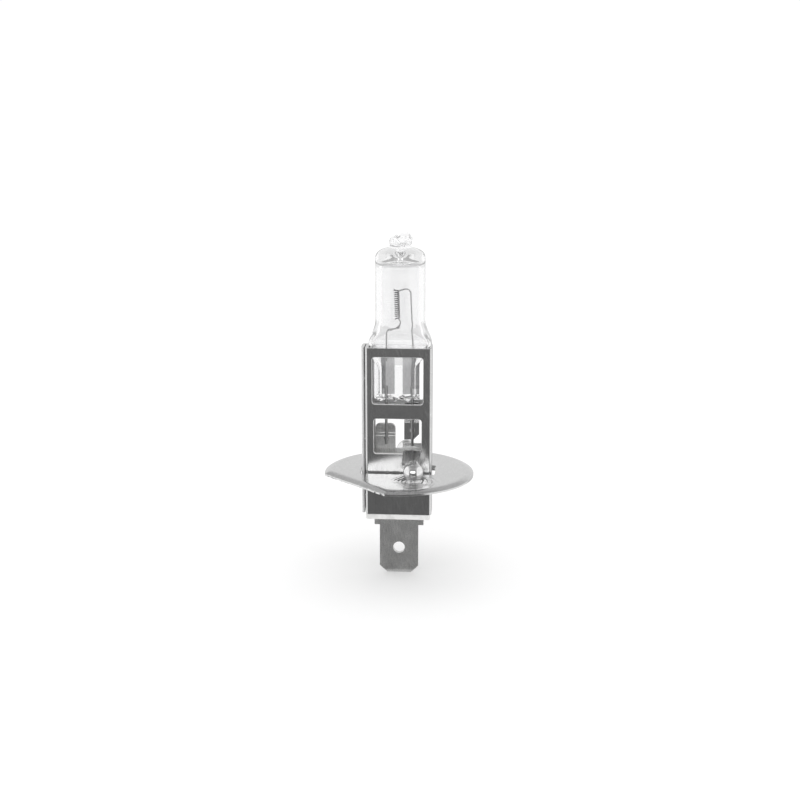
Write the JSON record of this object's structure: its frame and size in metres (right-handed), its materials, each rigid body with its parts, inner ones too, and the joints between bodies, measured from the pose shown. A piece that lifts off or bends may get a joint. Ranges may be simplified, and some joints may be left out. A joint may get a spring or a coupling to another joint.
{
  "type": "headlight bulb",
  "caption": "Halogen headlight bulb: clear quartz envelope with an upright coil, held in a windowed sheet-metal sleeve on a round flange with one straight keying edge and a flat blade contact.",
  "frame": {"origin": "middle of the flange's seating face, on the lamp axis", "axes": "+Z along the lamp axis to the tip of the glass; X across the wide side of the sleeve and blade; -Y is the side with the off-centre front weld bead to the right"},
  "size_m": [0.024, 0.024, 0.056],
  "materials": {
    "quartz": "clear fused quartz, polished",
    "tungsten": "drawn tungsten wire, dull grey",
    "lead_wire": "drawn molybdenum wire, satin",
    "foil": "rolled molybdenum foil, satin",
    "sleeve_steel": "nickel-plated steel sheet, half bright",
    "flange_steel": "nickel-plated steel, satin",
    "weld_metal": "bright remelted steel",
    "ceramic": "unglazed steatite, matte",
    "blade_steel": "tin-plated, dull satin"
  },
  "bodies": {
    "root": {"glass_envelope": "quartz", "exhaust_tip": "quartz", "filament_coil": "tungsten", "inner_lead_left": "lead_wire", "inner_lead_right": "lead_wire", "foil_left": "foil", "foil_right": "foil", "outer_lead_left": "lead_wire", "outer_lead_right": "lead_wire", "lead_weld_left": "weld_metal", "lead_weld_right": "weld_metal", "base_sleeve": "sleeve_steel", "seam_welds": "sleeve_steel", "earth_tab": "sleeve_steel", "flange_ring": "flange_steel", "weld_bead_front": "weld_metal", "weld_bead_rear": "weld_metal", "ceramic_insulator": "ceramic", "blade_terminal": "blade_steel"}
  },
  "joints": []
}
